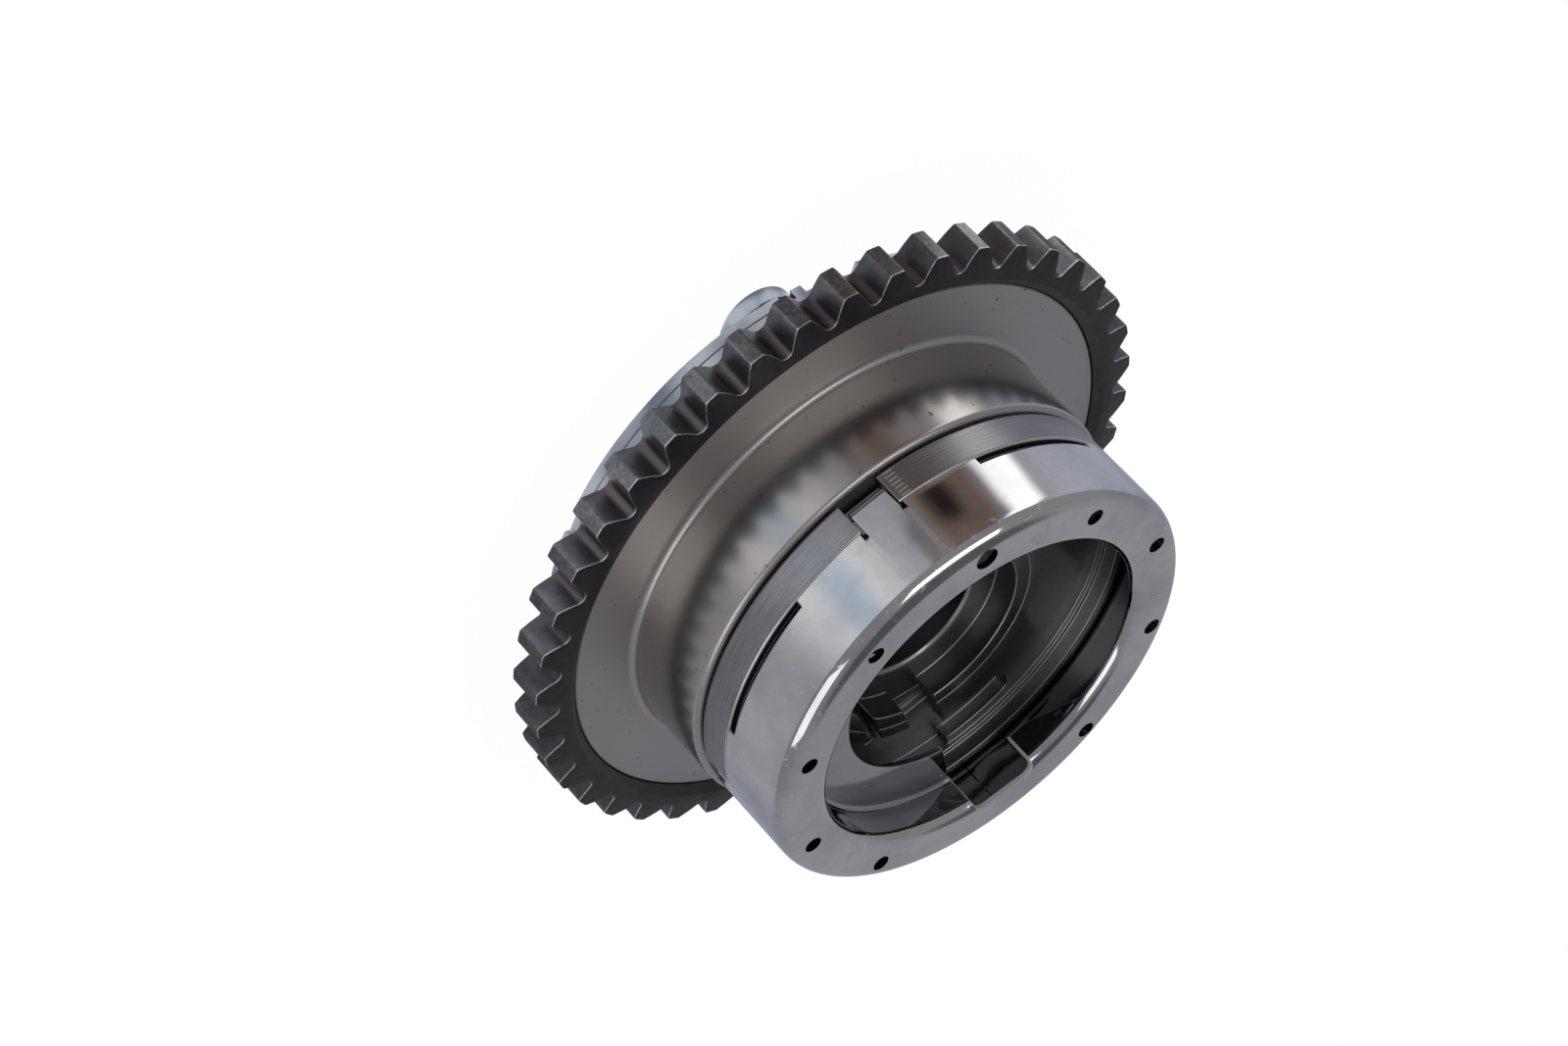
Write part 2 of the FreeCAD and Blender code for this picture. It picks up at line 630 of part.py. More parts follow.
def make_notch():
    """The notch in the front face, with rounded outer corners."""
    low = cup_top - LEDGE_DEPTH - CUP_SHEET - OVER
    high = cup_top + OVER
    box = Part.makeBox(NOTCH_REACH, 2 * NOTCH_HALF_WIDTH, high - low, Vector(0, -NOTCH_HALF_WIDTH, low))
    corners = []
    for edge in box.Edges:
        points = [vertex.Point for vertex in edge.Vertexes]
        upright = abs(points[0].z - points[1].z) > OVER
        if upright and points[0].x > NOTCH_REACH / 2:
            corners.append(edge)
    return turned_to(box.makeFillet(NOTCH_ROUND, corners), NOTCH_ANGLE)


def make_skirt():
    """The wall on the far side of the notch, which runs out to nothing."""
    top = cup_top - OPENING_ROUND
    low = cup_top - SKIRT_DEPTH
    width = SKIRT_END - NOTCH_ANGLE
    wall = sector(OPENING_RADIUS, OPENING_RADIUS + CUP_SHEET, low, top, NOTCH_ANGLE, width)
    reach = OPENING_RADIUS * math.radians(width) / 2
    corners = [Vector(0, 0, low - OVER), Vector(0, 2 * reach, low - OVER), Vector(0, 2 * reach, top)]
    wedge = Part.Face(Part.makePolygon(corners + corners[:1])).extrude(Vector(2 * OPENING_RADIUS, 0, 0))
    return wall.cut(turned_to(wedge, NOTCH_ANGLE + width / 2))


def make_sensor_cup():
    half = TONGUE_WIDTH / 2
    side_top = cup_top - CUP_ROUND
    body = [turned(cup_shell_section())]
    ledge_angle = NOTCH_ANGLE + 360 - LEDGE_START
    body.append(turned_to(turned(ledge_section(), ledge_angle), LEDGE_START))
    body.append(make_skirt())
    tongue = make_tongue()
    cuts = [make_notch()]
    gaps = []
    for place in tongue_places:
        body.append(turned_to(tongue, place))
        cuts.append(bar(tongue_face, CARRIER_RADIUS + OVER, 2 * half, carrier_top - OVER, side_top, place))
        for side in (-1, 1):
            offset = side * (half + RELIEF_WIDTH / 2)
            gaps.append(bar(tongue_face - 2 * CUP_SHEET, CARRIER_RADIUS + OVER, RELIEF_WIDTH,
                            carrier_top - OVER, carrier_top + WINDOW_HEIGHT, place, offset))
        window = place + 180.0 / TONGUES - WINDOW_ANGLE / 2
        gaps.append(sector(CARRIER_RADIUS - 2 * CUP_SHEET, CARRIER_RADIUS + OVER, carrier_top - OVER,
                           carrier_top + WINDOW_HEIGHT, window, WINDOW_ANGLE))
    for k in range(HOLE_COUNT):
        if k == NOTCH_HOLE_INDEX:
            continue
        radius = TIMING_HOLE_RADIUS if k == TIMING_HOLE_INDEX else HOLE_RADIUS
        place = polar(HOLE_CIRCLE, HOLE_PHASE + 360.0 / HOLE_COUNT * k)
        cuts.append(cylinder(radius, cup_top - 2 * CUP_SHEET, cup_top + OVER, place))
    return cut_all(joined(body), cuts + gaps)


def make_all():
    nodes = {
        "sprocket": make_sprocket(),
        "housing_shell": make_housing_shell(),
        "stator": make_stator(),
        "rear_cover": make_rear_cover(),
        "cover_bolts": make_cover_bolts(),
        "lock_bush": make_lock_bush(),
        "rotor": make_rotor(),
        "front_carrier": make_front_carrier(),
        "sensor_cup": make_sensor_cup(),
        "lock_pin": make_lock_pin(),
        "lock_spring": make_lock_spring(),
        "spring_seat": make_spring_seat(),
    }
    for index, place in enumerate(lobe_places, 1):
        top = lobe_radius + slot_depth
        crown = top - SPRING_RISE
        nodes[f"lobe_seal_{index}"] = make_seal(lobe_radius, crown, place)
        nodes[f"lobe_spring_{index}"] = make_leaf(top, crown, place)
    for index in range(VANES):
        place = vane_seal_angle(index)
        bottom = vane_radius - slot_depth
        crown = bottom + SPRING_RISE
        nodes[f"vane_seal_{index + 1}"] = make_seal(crown, vane_radius, place)
        nodes[f"vane_spring_{index + 1}"] = make_leaf(bottom, crown, place)
    return nodes


os.makedirs("parts", exist_ok=True)
for name, shape in make_all().items():
    shape.exportStep(f"parts/{name}.step")
    box = shape.BoundBox
    print(f"{name:16s} solids {len(shape.Solids)} valid {shape.isValid()} volume {shape.Volume:10.1f} "
          f"z {box.ZMin:7.3f} to {box.ZMax:7.3f}")
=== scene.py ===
# %% [markdown]
# # A cam phaser in phosphated, drawn and plated steel
# A cam phaser turns the camshaft by up to twenty degrees against its sprocket. This notebook dresses the
# solids that the frame holds: it models the parts that show again with fine edges, and gives each its finish.
# Named sizes are in millimetres and angles in degrees. MM turns a size into the metres that Blender works in.

# %% Load the frame
import json
import math
import bmesh
import bpy
from mathutils import Matrix, Vector


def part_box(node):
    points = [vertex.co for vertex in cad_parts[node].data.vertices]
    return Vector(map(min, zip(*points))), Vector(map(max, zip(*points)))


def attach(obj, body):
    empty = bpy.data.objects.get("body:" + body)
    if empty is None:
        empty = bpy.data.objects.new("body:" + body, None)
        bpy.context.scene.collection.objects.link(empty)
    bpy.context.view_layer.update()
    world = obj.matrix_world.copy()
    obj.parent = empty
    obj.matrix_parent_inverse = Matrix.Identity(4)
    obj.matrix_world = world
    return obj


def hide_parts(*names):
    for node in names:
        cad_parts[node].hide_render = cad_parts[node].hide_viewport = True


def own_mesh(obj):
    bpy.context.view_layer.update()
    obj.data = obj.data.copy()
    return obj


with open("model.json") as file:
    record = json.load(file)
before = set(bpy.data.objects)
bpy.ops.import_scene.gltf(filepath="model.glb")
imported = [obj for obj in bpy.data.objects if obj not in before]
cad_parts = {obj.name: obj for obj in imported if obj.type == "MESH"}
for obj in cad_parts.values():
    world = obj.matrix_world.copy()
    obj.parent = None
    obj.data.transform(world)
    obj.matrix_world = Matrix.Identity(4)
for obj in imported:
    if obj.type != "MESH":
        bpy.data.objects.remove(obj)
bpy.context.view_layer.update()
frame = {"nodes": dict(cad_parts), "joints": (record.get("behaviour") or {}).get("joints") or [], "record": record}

MM = 0.001
slots = {row["node"]: row["material_slot"] for row in frame["record"]["subparts"]}
print("nodes in the frame:", len(frame["nodes"]))

# %% [markdown]
# ## The camera
# The photograph looks down on the part at about thirty degrees, with the camera rolled so that the part's
# axis points to the lower right. The camera's directions are written as they were worked out from the circles
# of the part in the photograph, and the lens from how much the near circles outgrow the far ones.

# %% Camera
SENSOR_WIDTH = 36.0
PHOTO_WIDTH = 1600
PHOTO_HEIGHT = 1067
FOCAL_PIXELS = 4500.0
CAMERA_PLACE = Vector((98.87, -563.20, 334.07)) * MM
IMAGE_RIGHT = Vector((-0.77471, 0.21701, 0.59390))
IMAGE_DOWN = Vector((0.61686, 0.46578, 0.63446))
CENTRE_X = 783.45
CENTRE_Y = 549.02

view = bpy.data.cameras.new("photo_view")
view.sensor_width = SENSOR_WIDTH
view.lens = FOCAL_PIXELS / PHOTO_WIDTH * SENSOR_WIDTH
view.shift_x = (PHOTO_WIDTH / 2 - CENTRE_X) / PHOTO_WIDTH
view.shift_y = (CENTRE_Y - PHOTO_HEIGHT / 2) / PHOTO_WIDTH
camera = bpy.data.objects.new("photo_camera", view)
backward = IMAGE_RIGHT.cross(-IMAGE_DOWN)
axes = Matrix((IMAGE_RIGHT, -IMAGE_DOWN, backward)).transposed()
camera.matrix_world = Matrix.Translation(CAMERA_PLACE) @ axes.to_4x4()
bpy.context.scene.collection.objects.link(camera)
bpy.context.scene.camera = camera
print("lens", round(view.lens, 2), "mm")

# %% [markdown]
# ## Mesh helpers
# Nearly every part here was turned on a lathe or drawn from a disc, so most meshes start as half a section: a
# few corners joined by edges, some of them rounded by a vertex bevel, then spun about the axis.

# %% Mesh helpers
WELD = 0.002
SHARP_ANGLE = 35.0
EDGE_WIDTH = 0.12


def mesh_place(radius, angle, height=0.0):
    """A point from a radius and height in mm and an angle in degrees."""
    turn = math.radians(angle)
    return Vector((radius * math.cos(turn), radius * math.sin(turn), height)) * MM


def draw_section(bm, corners, rounds=(), closed=True):
    """Joins corners (radius, height) in mm in the XZ plane. Rounds holds (index, radius, segments)."""
    verts = [bm.verts.new((radius * MM, 0, height * MM)) for radius, height in corners]
    following = verts[1:] + verts[:1] if closed else verts[1:]
    for first, second in zip(verts, following):
        bm.edges.new((first, second))
    for index, radius, segments in rounds:
        bmesh.ops.bevel(bm, geom=[verts[index]], offset=radius * MM, offset_type="OFFSET",
                        segments=segments, profile=0.5, affect="VERTICES", material=-1)


def spin_all(bm, steps):
    """Spins all that is drawn a full turn about Z, and closes its seam."""
    bmesh.ops.spin(bm, geom=bm.verts[:] + bm.edges[:], cent=(0, 0, 0), axis=(0, 0, 1), dvec=(0, 0, 0),
                   angle=math.tau, steps=steps, use_merge=True)


def make_object(bm, name, recalculate=True):
    """Turns a bmesh into an object with smooth faces."""
    bmesh.ops.remove_doubles(bm, verts=bm.verts[:], dist=WELD * MM)
    if recalculate:
        bmesh.ops.recalc_face_normals(bm, faces=bm.faces[:])
    for face in bm.faces:
        face.smooth = True
    mesh = bpy.data.meshes.new(name)
    bm.to_mesh(mesh)
    bm.free()
    piece = bpy.data.objects.new(name, mesh)
    bpy.context.scene.collection.objects.link(piece)
    return piece


def verts_of(result):
    """The vertices in what a bmesh operator made."""
    return [item for item in result["geom"] if isinstance(item, bmesh.types.BMVert)]


def bake_modifiers(piece):
    """Replaces the piece's mesh by the result of its modifiers."""
    graph = bpy.context.evaluated_depsgraph_get()
    mesh = bpy.data.meshes.new_from_object(piece.evaluated_get(graph))
    piece.modifiers.clear()
    piece.data = mesh


def combine(piece, other, operation):
    """Takes a closed mesh out of the piece (DIFFERENCE) or joins it on (UNION), and uses it up."""
    change = piece.modifiers.new("combine", "BOOLEAN")
    change.operation = operation
    change.solver = "EXACT"
    change.object = other
    bake_modifiers(piece)
    bpy.data.objects.remove(other)


def shade_by_area(piece, angle):
    """Keeps edges sharper than the angle sharp, and lets large faces stay flat in the shading."""
    piece.data.set_sharp_from_angle(angle=math.radians(angle))
    level = piece.modifiers.new("flat_faces", "WEIGHTED_NORMAL")
    level.keep_sharp = True


def soften(piece, width, angle=SHARP_ANGLE):
    """Rounds the piece's sharp edges by a width in mm. Clamping is off: short edges would undo the width."""
    edge = piece.modifiers.new("edges", "BEVEL")
    edge.width = width * MM
    edge.segments = 2
    edge.limit_method = "ANGLE"
    edge.angle_limit = math.radians(angle)
    edge.use_clamp_overlap = False
    shade_by_area(piece, angle)


def merged_copy(node, name):
    """A copy of a CAD node with its loose triangles merged back into flat and curved faces."""
    bm = bmesh.new()
    bm.from_mesh(frame["nodes"][node].data)
    bmesh.ops.remove_doubles(bm, verts=bm.verts[:], dist=0.001 * MM)
    bmesh.ops.dissolve_limit(bm, angle_limit=math.radians(0.5), verts=bm.verts[:], edges=bm.edges[:])
    return make_object(bm, name, recalculate=False)


def seat(piece, body, node, material):
    """Rides the piece on its body in place of a CAD node, in one material."""
    piece.data.materials.clear()
    piece.data.materials.append(material)
    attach(piece, body)
    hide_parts(node)
    print(piece.name, "has", len(piece.data.polygons), "faces")


# %% [markdown]
# ## Shader maths
# A shader is a chain of small sums. Wrapping a socket in a class lets those sums be written as Python
# expressions, and one method makes every other kind of node.

# %% Shader maths
class Link:
    """A node's output socket that can be used in sums, with other links or with plain numbers."""

    def __init__(self, paint, socket):
        self.paint = paint
        self.socket = socket

    def math(self, operation, first, second=0.0):
        return self.paint.node("ShaderNodeMath", {"operation": operation}, {0: first, 1: second})

    def __add__(self, other):
        return self.math("ADD", self, other)

    __radd__ = __add__

    def __sub__(self, other):
        return self.math("SUBTRACT", self, other)

    def __rsub__(self, other):
        return self.math("SUBTRACT", other, self)

    def __mul__(self, other):
        return self.math("MULTIPLY", self, other)

    __rmul__ = __mul__

    def __pow__(self, other):
        return self.math("POWER", self, other)

    def apply(self, function):
        """A function of one value, such as SINE."""
        return self.paint.node("ShaderNodeMath", {"operation": function}, {0: self})


class Paint:
    """A material under construction."""

    def __init__(self, name, tree=None):
        if tree is None:
            self.material = bpy.data.materials.new(name)
            self.material.use_nodes = True
            tree = self.material.node_tree
        self.tree = tree
        self.tree.nodes.clear()

    def node(self, kind, settings=None, inputs=None, output=0):
        """Makes a node. Inputs that are links are wired, and the others become plain values."""
        made = self.tree.nodes.new(kind)
        for key, value in (settings or {}).items():
            setattr(made, key, value)
        for key, value in (inputs or {}).items():
            if isinstance(value, Link):
                self.tree.links.new(value.socket, made.inputs[key])
            else:
                made.inputs[key].default_value = value
        return Link(self, made.outputs[output])

    def place(self):
        """The point in metres, in the frame that all pieces share."""
        return self.node("ShaderNodeTexCoord", output="Object")

    def noise(self, scale, detail=4.0, rough=0.55, vector=None, lean=0.0):
        """Noise from 0 to 1 with a grain of about one over scale metres."""
        vector = vector or self.place()
        return self.node("ShaderNodeTexNoise", {}, {"Vector": vector, "Scale": scale, "Detail": detail,
                                                    "Roughness": rough, "Distortion": lean}, output="Fac")

    def step(self, value, low, high):
        """0 below low, 1 above high and smooth between."""
        return self.node("ShaderNodeMapRange", {"interpolation_type": "SMOOTHSTEP"},
                         {"Value": value, "From Min": low, "From Max": high})

    def fall(self, value, low, high):
        """1 below low, 0 above high and smooth between."""
        return 1 - self.step(value, low, high)

    def mix(self, mask, first, second):
        """Goes from the first colour to the second as the mask goes from 0 to 1."""
        def colour(value):
            return value if isinstance(value, Link) else (*value, 1)
        return self.node("ShaderNodeMix", {"data_type": "RGBA"},
                         {0: mask, 6: colour(first), 7: colour(second)}, output=2)

    def bump(self, height, strength, distance):
        """A Bump node for heights from 0 to 1, with distance in mm."""
        inputs = {"Height": height, "Strength": strength, "Distance": distance * MM}
        return self.node("ShaderNodeBump", {}, inputs)

    def finish(self, colour, roughness, metal, normal=None):
        """Ends the material with one Principled shader."""
        inputs = {"Base Color": colour, "Roughness": roughness, "Metallic": metal}
        if normal:
            inputs["Normal"] = normal
        shader = self.node("ShaderNodeBsdfPrincipled", {}, inputs, output="BSDF")
        self.node_out(shader)
        return self.material

    def node_out(self, shader):
        """Makes a shader the surface of the material."""
        made = self.tree.nodes.new("ShaderNodeOutputMaterial")
        self.tree.links.new(shader.socket, made.inputs["Surface"])

    def around(self):
        """The point's radius and height in mm and its angle in radians about the part's axis, as links."""
        split = self.node("ShaderNodeSeparateXYZ", {}, {0: self.place()})
        x, y, z = (Link(self, split.socket.node.outputs[k]) * (1 / MM) for k in range(3))
        radius = (x * x + y * y) ** 0.5
        return radius, y.math("ARCTAN2", y, x), z

    def flat(self):
        """1 on faces that look along the part's axis, and 0 on those that look sideways."""
        normal = self.node("ShaderNodeNewGeometry", output="True Normal")
        return self.node("ShaderNodeSeparateXYZ", {}, {0: normal}, output=2).apply("ABSOLUTE")

    def broken_edge(self):
        """1 on the small slopes that break an edge, and 0 on the flat ends and straight walls beside them."""
        flat = self.flat()
        return self.step(flat, 0.22, 0.42) * self.fall(flat, 0.93, 0.96)

    def lathe_lines(self, pitch, spread=0.4):
        """Fine lines that run round the axis, a pitch in mm apart: noise drawn out along the angle."""
        radius, angle, z = self.around()
        vector = self.node("ShaderNodeCombineXYZ", {}, {0: radius, 1: angle * spread, 2: z})
        return self.noise(1 / pitch, 3.0, 0.6, vector)


# %% [markdown]
# ## Finishes
# Each metal part left its own process: the sprocket is phosphated and rubbed bright on its tips, the shell is
# drawn from sheet, the carrier is machined, the cup is nickel plated, and the rear plates are zinc plated.

# %% Sprocket finish
wheel_low, wheel_high = (corner.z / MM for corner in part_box("sprocket"))
RELIEF_START = 50.8
RELIEF_SLOPE = 0.195


def phosphated_steel():
    """Dark phosphate, brown in the roots and rubbed on the tips, with the edge of the sloping front lightened,
    partly as rubbed bare metal and partly as painted highlight.
    """
    paint = Paint("phosphated_steel")
    radius, angle, z = paint.around()
    grain = paint.noise(1500, 5.0, 0.7)
    cloud = paint.noise(330, 5.0, 0.7)
    side = 1 - paint.flat()
    tip = side * paint.step(radius + cloud * 1.4, 54.4, 55.9)
    root = side * paint.fall(radius, 50.9, 52.6)
    face = paint.mix(cloud, (0.030, 0.029, 0.032), (0.072, 0.070, 0.073))
    wall = paint.mix(cloud, (0.045, 0.045, 0.052), (0.215, 0.212, 0.225))
    base = paint.mix(side, face, wall)
    brown = paint.mix(root * 0.5, base, (0.15, 0.115, 0.10))
    rubbed = paint.mix(tip * paint.step(grain, 0.25, 0.8) * 0.6, brown, (0.42, 0.41, 0.41))
    # Partly rubbed bare and partly painted highlight: a light line along the front edge of the teeth.
    front = z + (radius - RELIEF_START) * RELIEF_SLOPE
    near = paint.step(front, wheel_high - 0.30, wheel_high - 0.15)
    beyond = paint.step(radius, RELIEF_START - 0.5, RELIEF_START)
    edge = paint.step(side, 0.1, 0.3) * near * beyond * paint.step(grain, 0.15, 0.6)
    marks_and_painted_light = paint.mix(edge, rubbed, (0.72, 0.71, 0.70))
    rough = 0.33 + grain * 0.16
    return paint.finish(marks_and_painted_light, rough, 0.95, paint.bump(grain, 0.25, 0.012))


# %% Shell finish
def drawn_steel():
    """Satin steel with fine lines round it, warmer on one side, with pits, and with painted shade on the flange's
    rim where it sits in the sprocket's recess.
    """
    paint = Paint("drawn_steel")
    lines = paint.lathe_lines(0.16)
    cloud = paint.noise(60, 3.0, 0.55)
    speck = paint.step(paint.noise(900, 2.0, 0.5), 0.70, 0.76)
    radius, angle, z = paint.around()
    left = (angle + 1.2).apply("COSINE")
    steel = paint.mix(cloud, (0.41, 0.405, 0.41), (0.49, 0.485, 0.485))
    warm = paint.mix(cloud, (0.425, 0.40, 0.385), (0.505, 0.48, 0.462))
    base = paint.mix(paint.step(left, -0.1, 0.7), steel, warm)
    dotted = paint.mix(speck * 0.7, base, (0.10, 0.085, 0.075))
    # Painted shade: the flange's outer rim goes dark where it sits in the sprocket's recess.
    rim = paint.step(radius, 47.45, 47.85)
    marks_and_painted_light = paint.mix(rim * 0.85, dotted, (0.07, 0.05, 0.04))
    rough = 0.15 + cloud * 0.06 + lines * 0.05 + paint.flat() * 0.26
    return paint.finish(marks_and_painted_light, rough, 1.0, paint.bump(lines, 0.10, 0.006))


# %% Machined, plated and other finishes
NICK_PITCH = 0.75
NICK_ANGLE = -97.9
NOTCH_ANGLE = 84.6
NOTCH_HALF = 5.5
cup_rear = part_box("front_carrier")[1].z / MM
cup_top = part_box("sensor_cup")[1].z / MM


def machined_steel():
    """Turned steel with a row of nicks, bright on the rim and dark inside, with painted black shade behind the
    cup's windows and with broken edges lightened, partly as rubbed metal and partly as painted highlight.
    """
    paint = Paint("machined_steel")
    radius, angle, z = paint.around()
    lines = paint.lathe_lines(0.09)
    cloud = paint.noise(120, 4.0, 0.6)
    rim = paint.step(radius, 35.5, 36.3)
    scratch = paint.step(lines, 0.35, 0.68)
    bright = paint.mix(cloud * 0.5 + scratch * 0.5, (0.18, 0.175, 0.185), (0.44, 0.435, 0.445))
    dark = paint.mix(cloud, (0.20, 0.195, 0.195), (0.34, 0.335, 0.33))
    # Painted shade: the centring rim's outer wall and top go near black where they sit behind the cup's windows.
    window_shade = paint.step(z, cup_rear + 0.04, cup_rear + 0.08) * (1 - rim)
    window_shade = window_shade * paint.step(radius, 34.5, 34.8)
    both = paint.mix(window_shade, paint.mix(rim, dark, bright), (0.012, 0.011, 0.011))
    wave = (z * (math.tau / NICK_PITCH)).apply("SINE")
    away = (angle - math.radians(NICK_ANGLE)).apply("ABSOLUTE")
    nick = paint.step(wave, 0.1, 0.7) * paint.fall(away, math.radians(1.0), math.radians(1.5)) * rim
    bare = paint.mix(rim, (0.34, 0.335, 0.33), (0.74, 0.73, 0.73))
    # Broken edges are lightened, partly as rubbed metal and partly as painted highlight.
    marks_and_painted_light = paint.mix(paint.broken_edge() * 0.7 * (1 - window_shade) + nick, both, bare)
    rough = 0.26 + lines * 0.18
    return paint.finish(marks_and_painted_light, rough, 1.0, paint.bump(lines, 0.5, 0.014))


def nickel_plate():
    """Bright nickel with stains and scuffs, with painted shade inside the sheet, in the holes and on the dipped
    ledge, matt notch walls painted light as a highlight, and scuffs on the front rounding that are partly painted
    highlight.
    """
    paint = Paint("nickel_plate")
    peel = paint.noise(420, 2.0, 0.5)
    cloud = paint.noise(70, 4.0, 0.6)
    stain = paint.step(paint.noise(140, 5.0, 0.65), 0.56, 0.72)
    base = paint.mix(paint.step(cloud, 0.3, 0.7), (0.49, 0.49, 0.52), (0.66, 0.655, 0.65))
    dull = paint.mix(stain * 0.35, base, (0.33, 0.325, 0.33))
    radius, angle, z = paint.around()
    level = paint.flat()
    # Painted shade: the inside of the sheet and the walls of the holes are darkened.
    sheet = paint.fall(radius, 35.95, 36.2) * paint.step(radius, 28.4, 28.8)
    below = paint.fall(z, cup_top - 1.3, cup_top - 0.7)
    drilled = paint.fall(level, 0.10, 0.25) * paint.step(radius, 30.9, 31.1)
    turned = angle - math.radians(NOTCH_ANGLE)
    across = (radius * turned.apply("SINE")).apply("ABSOLUTE")
    along = radius * turned.apply("COSINE")
    # Painted highlight: the notch's cut walls are made light, as well as matt.
    cut = paint.fall(across, NOTCH_HALF + 0.1, NOTCH_HALF + 0.25)
    cut = cut * paint.step(along, 18, 19) * paint.fall(along, 29.9, 30.1)
    cut = cut * paint.fall(level, 0.5, 0.8) * paint.step(z, 44.5, 45)
    inside = sheet * below.math("MAXIMUM", below, drilled) * (1 - cut)
    # Painted shade: the ledge that dips inside the opening is greyed.
    low = paint.fall(radius, 28.3, 28.6) * paint.fall(z, 47, 49)
    ledge = paint.mix(low * 0.6, dull, (0.26, 0.26, 0.275))
    edge = paint.mix(cut, ledge, (0.72, 0.71, 0.72))
    shaded = paint.mix(inside, edge, (0.17, 0.165, 0.17))
    # Scuffs and thin scratches; on the front rounding the light specks are partly painted highlight.
    dent = paint.step(paint.noise(650, 3.0, 0.6, lean=1.2), 0.62, 0.68)
    corner = paint.step(radius, 34.6, 35.2)
    corner = corner * paint.step(z, cup_top - 3.4, cup_top - 2.6)
    thin = paint.step(paint.noise(240, 2.0, 0.5, lean=3.0), 0.70, 0.73)
    scuffs_and_highlight = (dent * corner * 0.7 + thin * 0.35) * (1 - inside)
    with_scuffs_and_highlight = paint.mix(scuffs_and_highlight, shaded, (0.86, 0.86, 0.87))
    rough = 0.05 + cloud * 0.06 + stain * 0.04 + cut * 0.3 + scuffs_and_highlight * 0.3
    return paint.finish(with_scuffs_and_highlight, rough, 1 - cut * 0.8, paint.bump(peel, 0.12, 0.01))


def zinc_plate():
    paint = Paint("zinc_plate")
    lines = paint.lathe_lines(0.2)
    cloud = paint.noise(90, 4.0, 0.6)
    base = paint.mix(cloud, (0.42, 0.43, 0.47), (0.55, 0.56, 0.60))
    rough = 0.26 + cloud * 0.1
    return paint.finish(base, rough, 1.0, paint.bump(lines, 0.15, 0.008))


def bolt_zinc():
    paint = Paint("bolt_zinc")
    cloud = paint.noise(260, 4.0, 0.6)
    base = paint.mix(cloud, (0.34, 0.40, 0.48), (0.56, 0.60, 0.63))
    # Broken edges are lightened, partly as rubbed metal and partly as painted highlight.
    marks_and_painted_light = paint.mix(paint.broken_edge() * 0.6, base, (0.80, 0.81, 0.82))
    return paint.finish(marks_and_painted_light, 0.14 + cloud * 0.1, 1.0, paint.bump(cloud, 0.2, 0.02))


def dark_oxide():
    paint = Paint("dark_oxide")
    lines = paint.lathe_lines(0.12)
    cloud = paint.noise(150, 4.0, 0.6)
    base = paint.mix(cloud, (0.15, 0.145, 0.145), (0.26, 0.255, 0.25))
    # Broken edges are lightened, partly as rubbed metal and partly as painted highlight.
    marks_and_painted_light = paint.mix(paint.broken_edge() * 0.45, base, (0.52, 0.51, 0.50))
    return paint.finish(marks_and_painted_light, 0.26 + cloud * 0.12, 1.0, paint.bump(lines, 0.2, 0.008))


def seal_plastic():
    paint = Paint("seal_plastic")
    grain = paint.noise(1500, 3.0, 0.6)
    base = paint.mix(grain, (0.03, 0.026, 0.024), (0.06, 0.052, 0.046))
    return paint.finish(base, 0.45 + grain * 0.15, 0.0, paint.bump(grain, 0.2, 0.01))


def ground_steel():
    paint = Paint("ground_steel")
    grain = paint.noise(700, 4.0, 0.6)
    base = paint.mix(grain, (0.36, 0.36, 0.37), (0.5, 0.5, 0.5))
    return paint.finish(base, 0.22 + grain * 0.1, 1.0)


finishes = {
    "sprocket": phosphated_steel(),
    "shell": drawn_steel(),
    "carrier": machined_steel(),
    "cup": nickel_plate(),
    "cover": zinc_plate(),
    "bolts": bolt_zinc(),
    "rotor": dark_oxide(),
    "seal": seal_plastic(),
    "hardened": ground_steel(),
}
finishes["stator"] = finishes["cover"]
finishes["spring"] = finishes["hardened"]
for node, slot_name in slots.items():
    data = frame["nodes"][node].data
    data.materials.clear()
    data.materials.append(finishes[slot_name])

# %% [markdown]
# ## Housing shell
# The real shell is one disc of steel, drawn into a pot whose rim lies on the sprocket. Its section is eight
# corners, three of them rounded. Spinning it in fine steps keeps its satin highlights free of facets.

# %% Housing shell
SHELL_WALL = 37.5
SHELL_FLANGE = 48.0
SHELL_OPENING = 17.85
SHEET = 1.5
FLANGE_SHEET = 1.6
FLANGE_ROUND = 0.5
FOOT_ROUND = 1.2
LIP_ROUND = 1.0
SHELL_STEPS = 288

shell_low, shell_high = (corner.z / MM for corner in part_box("housing_shell"))
flange_face = shell_low + FLANGE_SHEET
section = bmesh.new()
draw_section(section, [
    (SHELL_WALL - SHEET, shell_low), (SHELL_FLANGE, shell_low), (SHELL_FLANGE, flange_face),
    (SHELL_WALL, flange_face), (SHELL_WALL, shell_high), (SHELL_OPENING, shell_high),
    (SHELL_OPENING, shell_high - SHEET), (SHELL_WALL - SHEET, shell_high - SHEET)],
    rounds=[(2, FLANGE_ROUND, 4), (3, FOOT_ROUND, 8), (4, LIP_ROUND, 8)])
spin_all(section, SHELL_STEPS)
housing = make_object(section, "drawn_shell")
soften(housing, EDGE_WIDTH)
seat(housing, "drive_body", "housing_shell", finishes["shell"])

# %% [markdown]
# ## Sprocket
# One gap of the sprocket is a round seat for the chain's roller, two flanks and half a tip on each side. It
# is drawn once and spun into forty-two copies. The face is bridged to the bore and pushed up into a ring, and
# the recess for the shell is cut out of its front.

# %% Sprocket outline
TEETH = 42
CHAIN_PITCH = 8.0
SEAT_RADIUS = 1.3
SEAT_DROP = 0.83
SEAT_HALF_ANGLE = 62.0
FLANK_RADIUS = 16.0
TOOTH_RISE = 1.38
TIP_ROUND = 0.5
TOOTH_ANGLE = 4.9

